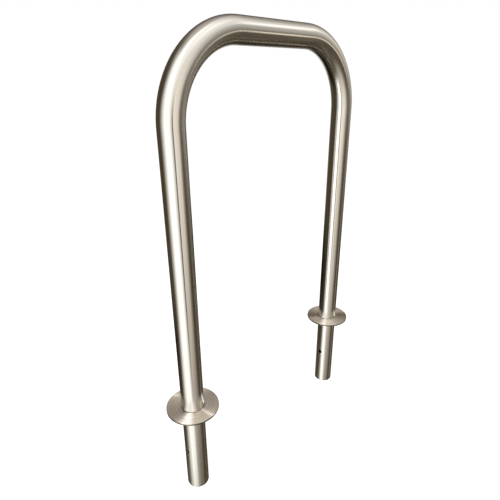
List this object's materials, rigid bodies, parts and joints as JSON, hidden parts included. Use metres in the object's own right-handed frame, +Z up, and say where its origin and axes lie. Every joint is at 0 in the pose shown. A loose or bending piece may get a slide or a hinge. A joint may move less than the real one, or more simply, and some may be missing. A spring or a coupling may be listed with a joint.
{
  "type": "hoop bike rack",
  "caption": "Root-fixed hoop stand of bent round stainless tube, with a round cover plate on each leg and a cross hole in each buried end.",
  "frame": {"origin": "midway between the two legs, at the level of their lower ends", "axes": "+Z up; +X along the hoop from the left leg to the right one, as seen from the front; +Y to the back. The ground line, the underside of the cover plates, is at z = 0.215"},
  "size_m": [0.612, 0.112, 0.965],
  "materials": {
    "tube_steel": "satin polished stainless steel tube",
    "plate_steel": "stainless steel disc with a fine circular grain",
    "weld_metal": "unground weld bead in stainless steel"
  },
  "bodies": {
    "root": {"hoop_tube": "tube_steel", "cover_plate_left": "plate_steel", "cover_plate_right": "plate_steel", "weld_left": "weld_metal", "weld_right": "weld_metal"}
  },
  "joints": []
}
